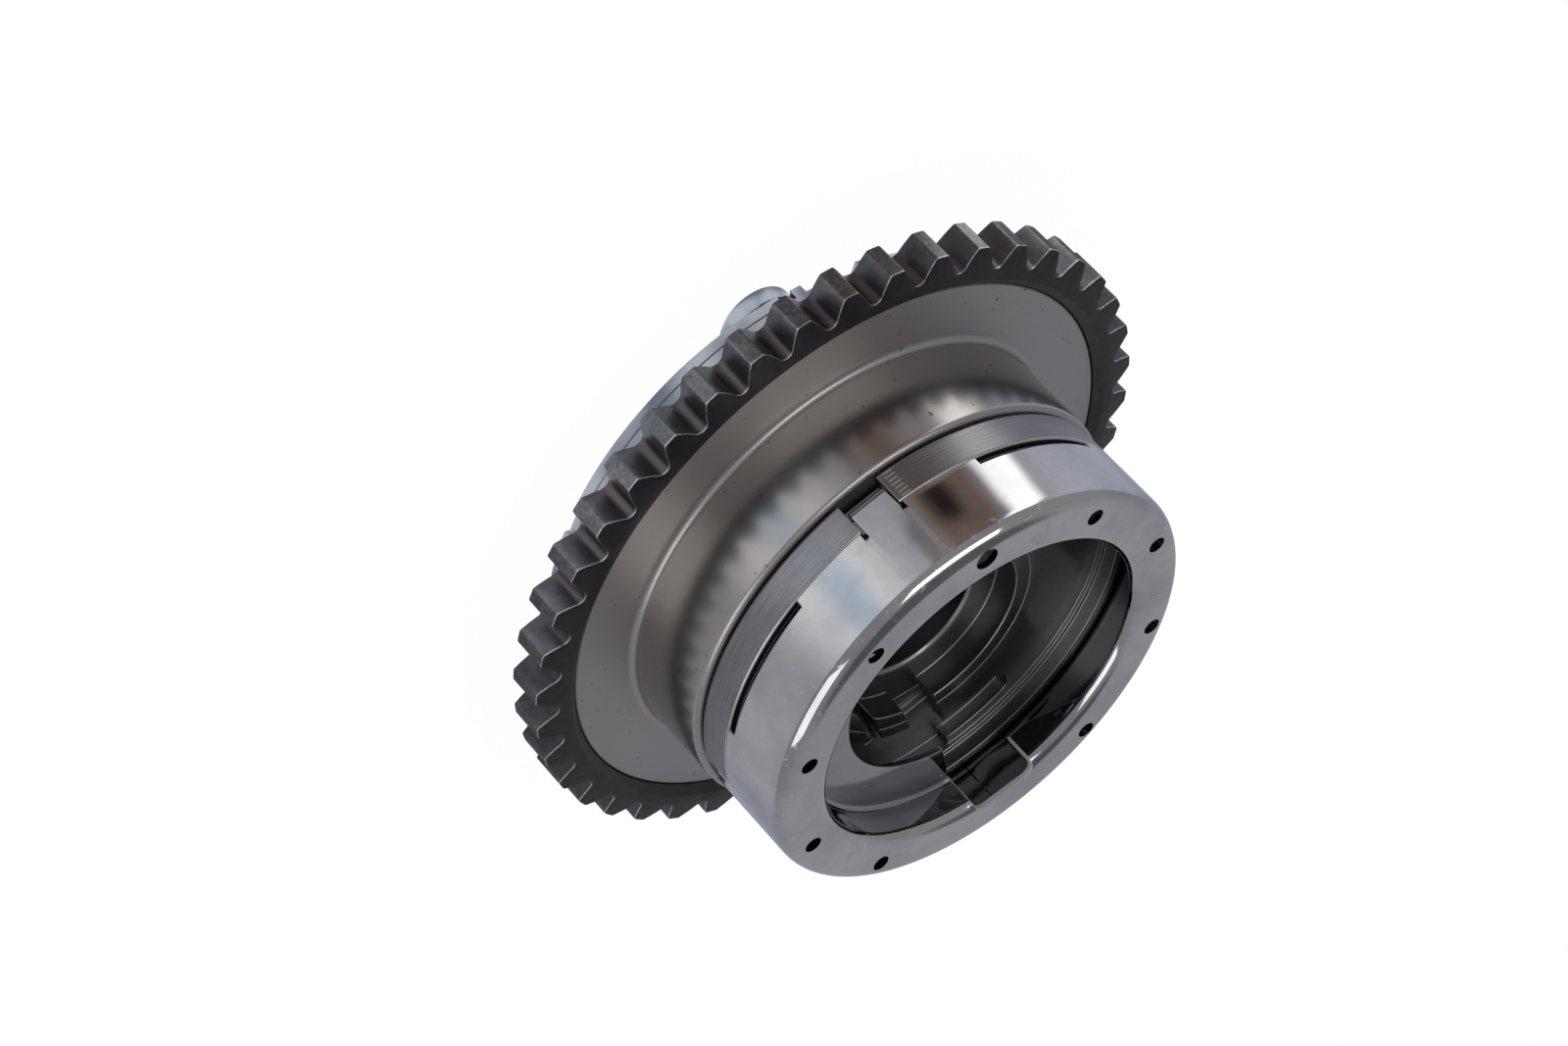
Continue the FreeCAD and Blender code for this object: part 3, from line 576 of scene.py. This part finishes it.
tooth_step = 360.0 / TEETH
pitch_radius = CHAIN_PITCH / (2 * math.sin(math.radians(tooth_step / 2)))
tip_radius = pitch_radius + TOOTH_RISE
root_radius = pitch_radius - SEAT_DROP - SEAT_RADIUS


def arc_points(centre, radius, start, end, count):
    """Points on an arc in the XY plane, from one direction to another."""
    first, last = (math.atan2(way.y, way.x) % math.tau for way in (start, end))
    turn = (last - first + math.pi) % math.tau - math.pi
    angles = [first + turn * k / count for k in range(count + 1)]
    return [centre + Vector((math.cos(angle), math.sin(angle), 0)) * radius for angle in angles]


def half_gap():
    """From the bottom of the seat to the middle of the tip's land, all in mm, about the X axis."""
    lean = math.radians(SEAT_HALF_ANGLE)
    slope = Vector((-math.cos(lean), math.sin(lean), 0))
    seat_centre = Vector((pitch_radius - SEAT_DROP, 0, 0))
    flank_centre = seat_centre + slope * (SEAT_RADIUS + FLANK_RADIUS)
    flank_r = FLANK_RADIUS - TIP_ROUND
    round_r = tip_radius - TIP_ROUND
    far = flank_centre.length
    along = (far ** 2 + round_r ** 2 - flank_r ** 2) / (2 * far)
    aside = math.sqrt(round_r ** 2 - along ** 2)
    outward = flank_centre.normalized()
    tip_centre = outward * along + Vector((outward.y, -outward.x, 0)) * aside
    to_flank = tip_centre - flank_centre
    half_step = math.radians(tooth_step / 2)
    middle = Vector((math.cos(half_step), math.sin(half_step), 0))
    points = arc_points(seat_centre, SEAT_RADIUS, Vector((-1, 0, 0)), slope, 6)
    points += arc_points(flank_centre, FLANK_RADIUS, -slope, to_flank, 4)[1:]
    points += arc_points(tip_centre, TIP_ROUND, to_flank, tip_centre, 4)[1:]
    points += arc_points(Vector((0, 0, 0)), tip_radius, tip_centre, middle, 1)[1:]
    return points


# %% Sprocket
WHEEL_BORE = 36.0
TIP_RELIEF = 0.8
RIM_BELOW = 0.6
EDGE_BREAK = 0.17
RECESS_BEVEL = 1.3
CUTTER_INNER = 20.0
GAP_STEPS = 6

foot_radius = root_radius - RIM_BELOW
wheel = bmesh.new()
chain = [wheel.verts.new((point.x * MM, point.y * MM, wheel_low * MM)) for point in half_gap()]
for first, second in zip(chain, chain[1:]):
    wheel.edges.new((first, second))
bmesh.ops.mirror(wheel, geom=wheel.verts[:] + wheel.edges[:], matrix=Matrix.Identity(4),
                 merge_dist=0.001 * MM, axis="Y")
bmesh.ops.spin(wheel, geom=wheel.verts[:] + wheel.edges[:], cent=(0, 0, 0), axis=(0, 0, 1), dvec=(0, 0, 0),
               angle=math.radians(360), steps=TEETH, use_duplicate=True)
bmesh.ops.remove_doubles(wheel, verts=wheel.verts[:], dist=0.005 * MM)
bmesh.ops.rotate(wheel, verts=wheel.verts[:], cent=(0, 0, 0),
                 matrix=Matrix.Rotation(math.radians(TOOTH_ANGLE + tooth_step / 2), 3, "Z"))
rim = wheel.edges[:]


def circle_edges(bm, radius, segments, height):
    """A circle about the axis, with its radius and height in mm."""
    circle = bmesh.ops.create_circle(bm, cap_ends=False, segments=segments, radius=radius * MM,
                                     matrix=Matrix.Translation((0, 0, height * MM)))
    return list({edge for vert in circle["verts"] for edge in vert.link_edges})


foot = circle_edges(wheel, foot_radius, TEETH * GAP_STEPS, wheel_low)
hole = circle_edges(wheel, WHEEL_BORE, TEETH * GAP_STEPS, wheel_low)
bmesh.ops.bridge_loops(wheel, edges=foot + hole)
bmesh.ops.bridge_loops(wheel, edges=rim + foot)
lifted = verts_of(bmesh.ops.extrude_face_region(wheel, geom=wheel.faces[:]))
bmesh.ops.translate(wheel, verts=lifted, vec=(0, 0, (wheel_high - wheel_low) * MM))
for vert in lifted:
    beyond = (vert.co.xy.length / MM - foot_radius) / (tip_radius - foot_radius)
    vert.co.z -= max(0.0, beyond) * TIP_RELIEF * MM


def round_teeth(edge):
    """Whether an edge runs along the outline of the teeth, at the front or the rear."""
    outside = all(vert.co.xy.length > (WHEEL_BORE + 5) * MM for vert in edge.verts)
    level = abs(edge.verts[0].co.z - edge.verts[1].co.z) < 1.0 * MM
    return outside and level and len(edge.link_faces) == 2 and edge.calc_face_angle() > math.radians(60)


outline = [edge for edge in wheel.edges if round_teeth(edge)]
bmesh.ops.bevel(wheel, geom=outline, offset=EDGE_BREAK * MM, offset_type="OFFSET", segments=2,
                profile=0.5, affect="EDGES", clamp_overlap=True, material=-1)
print("outline edges", len(outline))
toothed = make_object(wheel, "toothed_wheel")

pocket = bmesh.new()
draw_section(pocket, [
    (CUTTER_INNER, shell_low), (SHELL_FLANGE, shell_low), (SHELL_FLANGE, flange_face),
    (SHELL_FLANGE + RECESS_BEVEL, wheel_high), (SHELL_FLANGE + RECESS_BEVEL, wheel_high + 1),
    (CUTTER_INNER, wheel_high + 1)])
spin_all(pocket, TEETH * GAP_STEPS)
combine(toothed, make_object(pocket, "pocket_cutter"), "DIFFERENCE")
shade_by_area(toothed, SHARP_ANGLE)
seat(toothed, "drive_body", "sprocket", finishes["sprocket"])

# %% [markdown]
# ## Sensor cup
# The cup was pressed from one sheet, so it is made as the press makes it: first the skin, spun from its
# section, then the windows, tongues and ledge in that skin, then the sheet's thickness, and the holes last.

# %% Cup skin
CUP_RADIUS = 36.9
CUP_SHEET = 1.0
CUP_ROUND = 2.8
OPENING = 28.0
OPENING_ROUND = 1.8
LEDGE_DEPTH = 6.55
LEDGE_INNER = 19.7
LEDGE_BEND = 1.0
WINDOW_HEIGHT = 1.25
WINDOW_ANGLE = 38.0
TONGUES = 4
TONGUE_HALF = 3.05
RELIEF = 0.8
TONGUE_DROP = 4.2
TONGUE_HOOK = 1.6
CUP_STEPS = 240

shelf = cup_top - LEDGE_DEPTH
lip = cup_top - OPENING_ROUND
shoulder = cup_top - CUP_ROUND
skin = bmesh.new()
draw_section(skin, [
    (CUP_RADIUS, cup_rear), (CUP_RADIUS, cup_top), (OPENING, cup_top), (OPENING, shelf),
    (LEDGE_INNER, shelf)],
    rounds=[(1, CUP_ROUND, 12), (2, OPENING_ROUND, 10), (3, LEDGE_BEND, 8)], closed=False)
spin_all(skin, CUP_STEPS)


def slice_skin(point, normal, chosen):
    """Cuts the faces that chosen picks along a plane, with the point in mm."""
    faces = [face for face in skin.faces if chosen(face.calc_center_median() / MM)]
    parts = {item for face in faces for item in (*face.verts, *face.edges)}
    bmesh.ops.bisect_plane(skin, geom=faces + list(parts), dist=0.001 * MM, plane_co=Vector(point) * MM,
                           plane_no=Vector(normal))


def spoke(angle):
    """The normal of the plane that holds the axis and the spoke at that angle."""
    return Vector((-math.sin(math.radians(angle)), math.cos(math.radians(angle)), 0))


def on_wall(point):
    """Whether a point in mm is on the cup's outer wall."""
    return point.z < shoulder and point.xy.length > OPENING + CUP_ROUND


def on_ledge(point):
    """Whether a point in mm is on the sheet that dips inside the opening."""
    return point.z < lip and point.xy.length < OPENING + 0.1


def drop_faces(chosen):
    """Removes the faces whose middle the chosen function picks."""
    faces = [face for face in skin.faces if chosen(face.calc_center_median() / MM)]
    bmesh.ops.delete(skin, geom=faces, context="FACES")


def angle_of(point):
    """A point's angle about the axis, from 0 to 360 degrees."""
    return math.degrees(math.atan2(point.y, point.x)) % 360


# %% Windows and reliefs in the cup
STRIP_HEIGHT = 6.5
STRIP_FADE = 4

window_top = cup_rear + WINDOW_HEIGHT
slice_skin((0, 0, window_top), (0, 0, 1), on_wall)
for k in range(1, STRIP_FADE + 1):
    slice_skin((0, 0, cup_rear + STRIP_HEIGHT * k / STRIP_FADE), (0, 0, 1), on_wall)
tongue_places = [360 / TONGUES * k for k in range(TONGUES)]
for place in tongue_places[:2]:
    for offset in (TONGUE_HALF, TONGUE_HALF + RELIEF):
        for side in (-1, 1):
            across = spoke(place)
            slice_skin(across * (side * offset), across, on_wall)
for place in tongue_places:
    for side in (-1, 1):
        edge_angle = place + 45 + side * WINDOW_ANGLE / 2
        slice_skin((0, 0, 0), spoke(edge_angle), lambda p: on_wall(p) and p.z < window_top)


def in_window(point):
    """Whether a point in mm is in a rear window or in a slit beside a tongue."""
    if not on_wall(point) or point.z > window_top:
        return False
    from_window = abs((angle_of(point) % 90) - 45)
    across = min(abs(point.x), abs(point.y))
    return from_window < WINDOW_ANGLE / 2 or TONGUE_HALF < across < TONGUE_HALF + RELIEF


drop_faces(in_window)

# %% [markdown]
# ### Tongues
# Four tongues reach back from the cup's rear edge through gaps in the carrier and hook inward under it. Each
# starts from a flat strip that was pressed into the cup's wall.

# %% Tongues
HOOK_INSIDE = 0.5
PRESS_SLOPE = 1.5

hook_bend = HOOK_INSIDE + CUP_SHEET
hook_low = cup_rear - TONGUE_DROP
hook_length = TONGUE_HOOK + CUP_SHEET - hook_bend
tongue_face = math.sqrt(CUP_RADIUS ** 2 - TONGUE_HALF ** 2)
for place in tongue_places:
    turn = Matrix.Rotation(math.radians(place), 4, "Z")
    back = turn.inverted()
    strip = []
    for vert in skin.verts:
        local = back @ vert.co / MM
        beside = abs(local.y) > TONGUE_HALF + 0.01
        if local.x > OPENING + CUP_ROUND and local.z < shoulder and not beside:
            strip.append(vert)
    for vert in strip:
        local = back @ vert.co
        height = local.z / MM - cup_rear
        fade = min(1.0, max(0.0, PRESS_SLOPE - PRESS_SLOPE * height / STRIP_HEIGHT))
        local.x += (tongue_face * MM - local.x) * fade
        vert.co = turn @ local
    rear_verts = {vert for vert in strip if vert.co.z < (cup_rear + 0.01) * MM}
    rear = [edge for edge in skin.edges if edge.is_boundary and rear_verts.issuperset(edge.verts)]
    down = bmesh.ops.extrude_edge_only(skin, edges=rear)
    moved = verts_of(down)
    edges = [item for item in down["geom"] if isinstance(item, bmesh.types.BMEdge)
             and all(vert in moved for vert in item.verts)]
    bmesh.ops.translate(skin, verts=moved, vec=(0, 0, (hook_low + hook_bend - cup_rear) * MM))
    centre = turn @ (Vector((tongue_face - hook_bend, 0, hook_low + hook_bend)) * MM)
    bent = bmesh.ops.spin(skin, geom=moved + edges, cent=centre, axis=turn @ Vector((0, 1, 0)),
                          dvec=(0, 0, 0), angle=math.radians(90), steps=6)
    last_edges = [item for item in bent["geom_last"] if isinstance(item, bmesh.types.BMEdge)]
    ends = verts_of(bmesh.ops.extrude_edge_only(skin, edges=last_edges))
    bmesh.ops.translate(skin, verts=ends, vec=turn @ Vector((-hook_length * MM, 0, 0)))

# %% [markdown]
# ### Ledge, skirt and thickness
# Inside the opening the sheet dips into a dished ledge on one side only. Past the notch it goes on as a short
# skirt that runs out to nothing.

# %% Ledge and skirt
LEDGE_START = 300.0
SKIRT_END = 121.0
SKIRT_DEPTH = 6.0

skirt_low = cup_top - SKIRT_DEPTH
skirt_middle = (NOTCH_ANGLE + SKIRT_END) / 2
for angle in (NOTCH_ANGLE, SKIRT_END, LEDGE_START):
    slice_skin((0, 0, 0), spoke(angle), on_ledge)


def past_ledge(point):
    """Whether a point in mm is where the ledge isn't made."""
    angle = angle_of(point)
    return on_ledge(point) and SKIRT_END < angle < LEDGE_START


def on_skirt(point):
    """Whether a point in mm is on the skirt past the notch."""
    angle = angle_of(point)
    return on_ledge(point) and NOTCH_ANGLE < angle < SKIRT_END


drop_faces(past_ledge)
slice_skin((0, 0, skirt_low), (0, 0, 1), on_skirt)
drop_faces(lambda p: on_skirt(p) and p.z < skirt_low)
reach = OPENING * math.radians(SKIRT_END - NOTCH_ANGLE) / 2
slope = Vector((0, -(lip - skirt_low), reach)).normalized()
slope_point = Vector((0, 0, skirt_low))
slope_normal = Matrix.Rotation(math.radians(skirt_middle), 4, "Z") @ slope
slice_skin(slope_point, slope_normal, on_skirt)
drop_faces(lambda p: on_skirt(p) and (p - slope_point).dot(slope_normal) < 0)
bmesh.ops.recalc_face_normals(skin, faces=skin.faces[:])
top_face = max(skin.faces, key=lambda face: face.calc_center_median().z)
if top_face.normal.z < 0:
    bmesh.ops.reverse_faces(skin, faces=skin.faces[:])
cup = make_object(skin, "pressed_cup", recalculate=False)
wall = cup.modifiers.new("sheet", "SOLIDIFY")
wall.thickness = CUP_SHEET * MM
wall.offset = -1
wall.use_even_offset = True
bake_modifiers(cup)

# %% Notch and holes
NOTCH_REACH = 29.8
NOTCH_ROUND = 2.0
HOLES = 10
HOLE_CIRCLE = 33.0
HOLE_RADIUS = 1.4
TIMING_RADIUS = 1.85
HOLE_PHASE = 4.7
TIMING_HOLE = 7
NOTCH_HOLE = 2
CUP_SHARP_ANGLE = 40.0
CUTTER_BELOW = 2.0
CUTTER_HEIGHT = 10.0
DRILL_LENGTH = 4.0
DRILL_SIDES = 40

notch = bmesh.new()
corners = [notch.verts.new((x * MM, y * MM, (shelf - CUTTER_BELOW) * MM)) for x, y in (
    (0, -NOTCH_HALF), (NOTCH_REACH, -NOTCH_HALF), (NOTCH_REACH, NOTCH_HALF), (0, NOTCH_HALF))]
notch.faces.new(corners)
bmesh.ops.bevel(notch, geom=corners[1:3], offset=NOTCH_ROUND * MM, offset_type="OFFSET", segments=8,
                profile=0.5, affect="VERTICES", material=-1)
roof = verts_of(bmesh.ops.extrude_face_region(notch, geom=notch.faces[:]))
bmesh.ops.translate(notch, verts=roof, vec=(0, 0, CUTTER_HEIGHT * MM))
bmesh.ops.rotate(notch, verts=notch.verts[:], cent=(0, 0, 0),
                 matrix=Matrix.Rotation(math.radians(NOTCH_ANGLE), 3, "Z"))
combine(cup, make_object(notch, "notch_cutter"), "DIFFERENCE")
soften(cup, EDGE_WIDTH, CUP_SHARP_ANGLE)
bake_modifiers(cup)

drills = bmesh.new()
for k in range(HOLES):
    if k == NOTCH_HOLE:
        continue
    radius = TIMING_RADIUS if k == TIMING_HOLE else HOLE_RADIUS
    hole_middle = mesh_place(HOLE_CIRCLE, HOLE_PHASE + 360 / HOLES * k, cup_top)
    bmesh.ops.create_cone(drills, cap_ends=True, segments=DRILL_SIDES, radius1=radius * MM,
                          radius2=radius * MM, depth=DRILL_LENGTH * MM,
                          matrix=Matrix.Translation(hole_middle))
combine(cup, make_object(drills, "hole_cutters"), "DIFFERENCE")
shade_by_area(cup, CUP_SHARP_ANGLE)
seat(cup, "driven_body", "sensor_cup", finishes["cup"])

# %% [markdown]
# ## Parts kept from the frame
# The carrier, rotor, stator, rear cover and screws already have their true shape in the frame. Their loose
# triangles are merged, flat areas are joined, and the sharp edges get the small rounding that catches light.
# The carrier also gets the low rim that centres the cup, so that no daylight shows through the cup's windows. Its
# finish paints the rim's outer wall and top near black there, as painted shade.

# %% Parts kept from the frame
kept = {
    "front_carrier": ("carrier_ring", "driven_body", 0.15),
    "rotor": ("rotor_core", "driven_body", 0.18),
    "stator": ("stator_block", "drive_body", 0.15),
    "rear_cover": ("cover_plate", "drive_body", 0.15),
    "cover_bolts": ("cover_screws", "drive_body", 0.12),
}
CENTRING_RIM = (33.6, 35.5)
RIM_HEIGHT = 2.4
RIM_SINK = 0.3
RIM_STEPS = 180

for node, (name, body, width) in kept.items():
    piece = merged_copy(node, name)
    if node == "front_carrier":
        ring = bmesh.new()
        inner, outer = CENTRING_RIM
        draw_section(ring, [
            (inner, cup_rear - RIM_SINK), (outer, cup_rear - RIM_SINK),
            (outer, cup_rear + RIM_HEIGHT), (inner, cup_rear + RIM_HEIGHT)])
        spin_all(ring, RIM_STEPS)
        combine(piece, make_object(ring, "centring_rim"), "UNION")
    soften(piece, width)
    seat(piece, body, node, finishes[slots[node]])

# %% [markdown]
# ### Locking spring
# The coil spring stands between the locking pin and its seat, and gets shorter as the pin draws back. Here it is
# only seated on the driven body; how much of its length the pin's travel takes is worked out but not applied.

# %% Locking spring
coil = merged_copy("lock_spring", "lock_coil")
fixed_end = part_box("spring_seat")[0].z
free_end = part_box("lock_spring")[0].z
travel = next(joint["range_m"][1] for joint in frame["joints"] if joint["name"] == "lock")
seat(coil, "driven_body", "lock_spring", finishes[slots["lock_spring"]])
1 - travel / (fixed_end - free_end)
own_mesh(coil)

# %% [markdown]
# ## Studio
# The photograph was taken in even white light, and its background is plain white. To the camera the world and
# floor are white. Metal sees a grey room with soft lamps and a table with cards on it, whose places round the
# part are angles and radii on the floor.

# %% Floor and world
def floor_finish():
    """White to the camera. Metal sees a grey table with pale, brown, dark and white cards on it."""
    paint = Paint("floor_white")
    radius, angle, z = paint.around()
    turn = angle * (180 / math.pi)
    ripple = paint.noise(22, 3.0, 0.6) * 6 - 3
    spread = turn + ripple

    def card(start, end, soft):
        """1 between two angles, with edges that are soft by an angle."""
        return paint.step(spread, start - soft, start + soft) * paint.fall(spread, end - soft, end + soft)

    beside = paint.fall(radius, 60, 65)
    behind = paint.step(turn, 95, 125) + paint.fall(turn, -168, -160)
    beyond = paint.step(turn, 20, 45) * paint.fall(turn, 140, 156)
    front = paint.mix(behind, (0.45, 0.45, 0.48), (0.48, 0.49, 0.58))
    table = paint.mix(beyond, front, (0.34, 0.35, 0.41))
    sides = paint.mix(paint.fall(radius, 74, 87) * 0.85, table, (0.09, 0.09, 0.10))
    pale = paint.mix(card(-87, -45, 12.0), sides, (0.88, 0.88, 0.90))
    tinted = paint.mix(card(-75, -62, 5.0) * 0.9, pale, (0.60, 0.73, 0.83))
    shaded = paint.mix(card(-106, -100, 2.0), tinted, (0.24, 0.235, 0.24))
    close = paint.fall(radius, 94, 104) * paint.fall(spread, -124, -114)
    brown = paint.mix(card(-137, -107, 7.0) * (1 - close * 0.85), shaded, (0.21, 0.15, 0.12))
    ring = paint.step(radius, 101, 108) * paint.fall(radius, 117, 127)
    dark = paint.mix(card(-124, -113, 4.5) * ring, brown, (0.02, 0.018, 0.018))
    bright = paint.mix(card(-155, -139, 3.0), dark, (1.65, 1.65, 1.65))
    patches = paint.step(paint.noise(75, 2.0, 0.5), 0.42, 0.58)
    patchy = paint.mix(patches, (0.26, 0.29, 0.34), (0.86, 0.88, 0.90))
    lit = paint.mix(beside, bright, patchy)
    glow = paint.node("ShaderNodeEmission", {}, {"Color": lit, "Strength": 1.0})
    white = paint.node("ShaderNodeEmission", {}, {"Color": (1, 1, 1, 1), "Strength": 1.06})
    diffuse = paint.node("ShaderNodeBsdfDiffuse", {}, {"Color": (0.82, 0.82, 0.83, 1)})
    to_camera = paint.node("ShaderNodeLightPath", output="Is Camera Ray")
    to_metal = paint.node("ShaderNodeLightPath", output="Is Glossy Ray")
    shown = paint.node("ShaderNodeMixShader", {}, {0: to_camera * 0.92, 1: diffuse, 2: white})
    paint.node_out(paint.node("ShaderNodeMixShader", {}, {0: to_metal, 1: shown, 2: glow}))
    return paint.material


FLOOR_GAP = 0.05
FLOOR_HALF = 6000.0

ground = bmesh.new()
bmesh.ops.create_grid(ground, x_segments=1, y_segments=1, size=FLOOR_HALF * MM,
                      matrix=Matrix.Translation((0, 0, -FLOOR_GAP * MM)))
floor = make_object(ground, "floor", recalculate=False)
floor.data.materials.append(floor_finish())

world = bpy.data.worlds.new("room")
bpy.context.scene.world = world
world.use_nodes = True
sky = Paint("room", world.node_tree)


def toward(direction, low, high):
    """1 where the sky is seen in a direction, 0 away from it, with the cosines where it starts and ends."""
    looking = sky.node("ShaderNodeTexCoord", output="Generated")
    unit = tuple(Vector(direction).normalized())
    cosine = sky.node("ShaderNodeVectorMath", {"operation": "DOT_PRODUCT"}, {0: looking, 1: unit},
                      output="Value")
    return sky.step(cosine, low, high)


to_camera = sky.node("ShaderNodeLightPath", output="Is Camera Ray")
walls = sky.mix(toward((0, 0.86, 0.5), 0.3, 1.0), (0.30, 0.30, 0.315), (0.38, 0.38, 0.41))
flag = sky.mix(toward((-0.1, 0.1, 1.0), 0.80, 0.93) * 0.85, walls, (0.09, 0.09, 0.095))
room = sky.node("ShaderNodeBackground", {}, {"Color": flag, "Strength": 1.0})
white = sky.node("ShaderNodeBackground", {}, {"Color": (1, 1, 1, 1), "Strength": 1.0})
surface = sky.node("ShaderNodeMixShader", {}, {0: to_camera, 1: room, 2: white})
world_out = sky.tree.nodes.new("ShaderNodeOutputWorld")
sky.tree.links.new(surface.socket, world_out.inputs["Surface"])


# %% Lamps
def soft_box(name, place, aim, size, power):
    """A rectangular lamp at a place, turned to face another, all in metres, with its power in watts."""
    lamp = bpy.data.lights.new(name, "AREA")
    lamp.shape = "RECTANGLE"
    lamp.size, lamp.size_y = size
    lamp.energy = power
    box = bpy.data.objects.new(name, lamp)
    box.location = place
    box.rotation_euler = (Vector(aim) - Vector(place)).to_track_quat("-Z", "Y").to_euler()
    bpy.context.scene.collection.objects.link(box)


part_middle = (0, 0, 0.03)
soft_box("key_left", (-0.22, -0.50, 0.60), part_middle, (0.60, 0.26), 1.0)
soft_box("fill_right", (0.60, -0.20, 0.40), part_middle, (0.50, 0.40), 0.8)

bpy.context.scene.view_settings.view_transform = "Standard"
